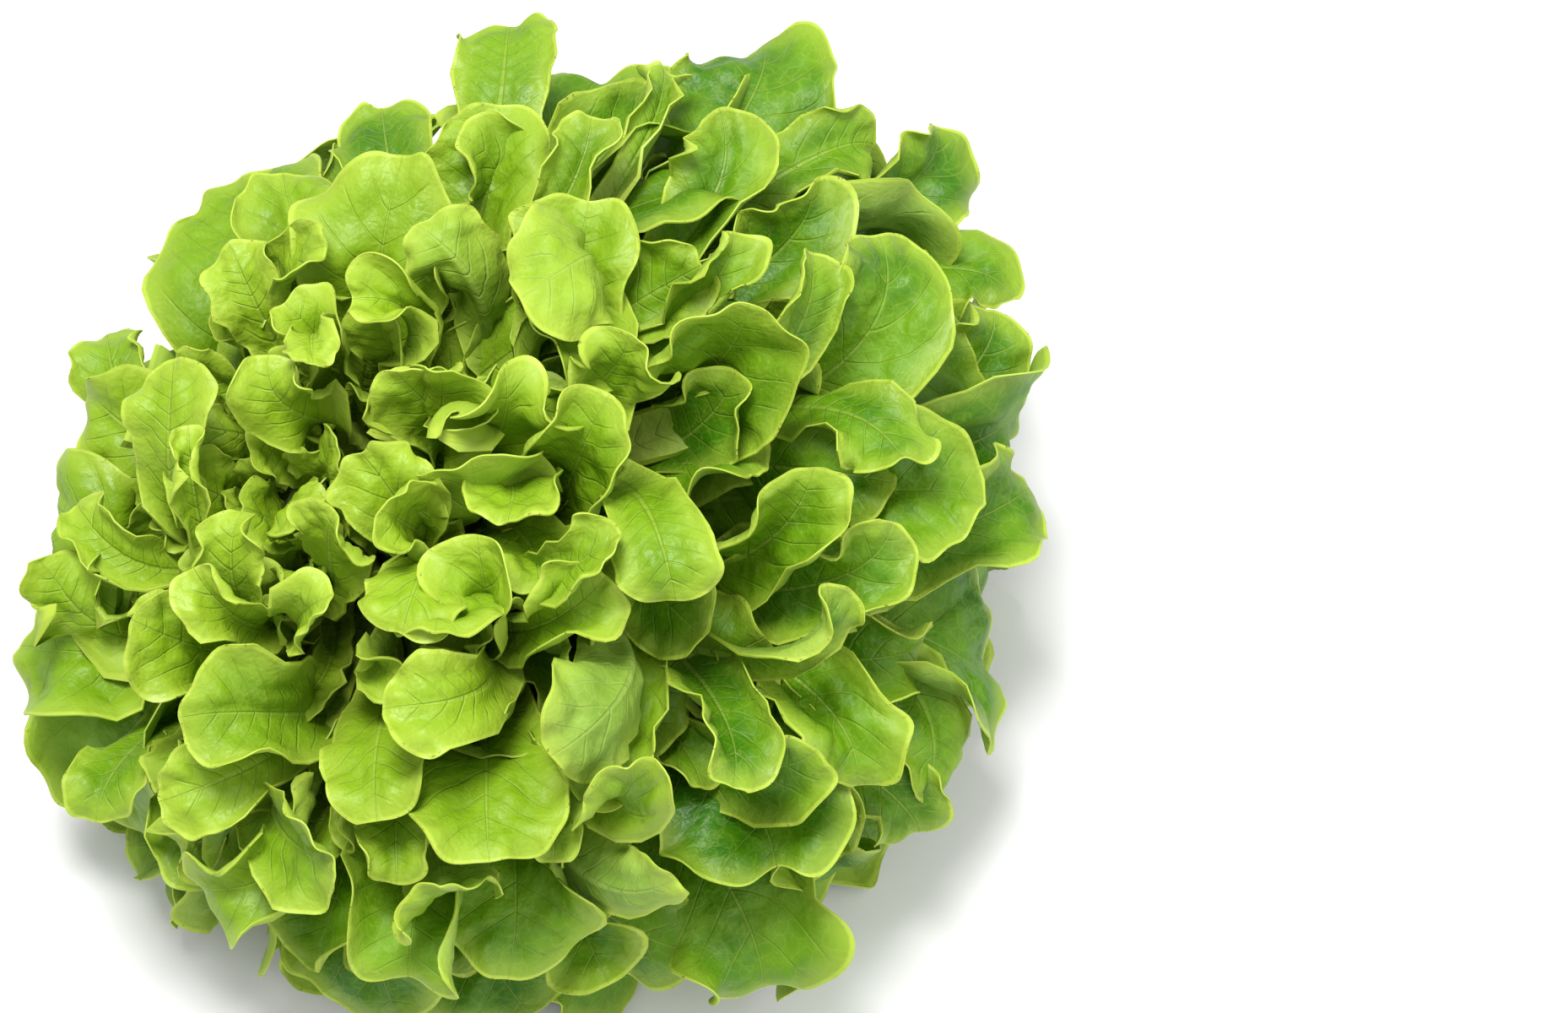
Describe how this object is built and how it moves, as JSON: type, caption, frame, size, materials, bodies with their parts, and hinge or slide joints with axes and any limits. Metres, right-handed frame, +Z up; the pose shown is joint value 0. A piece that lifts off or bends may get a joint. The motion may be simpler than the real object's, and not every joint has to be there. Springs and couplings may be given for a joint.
{
  "type": "oak leaf lettuce",
  "caption": "Whole head of green oak leaf lettuce, cut at the stem and lying tilted on a surface, its loose round-lobed leaves closing into a low dome round a pale heart.",
  "frame": {"origin": "centre of the bounding box's bottom face, on the surface that the head lies on", "axes": "+Z up, +X to the right and -Y towards the viewer of the picture, with the heart turned up and towards -X"},
  "size_m": [0.2865, 0.2992, 0.1817],
  "materials": {
    "leaf_green": "satin leaf skin",
    "heart_green": "satin leaf skin",
    "stem_cream": "satin cut stem"
  },
  "bodies": {
    "root": {"outer_leaves": "leaf_green", "heart_leaves": "heart_green", "stem": "stem_cream"}
  },
  "joints": []
}
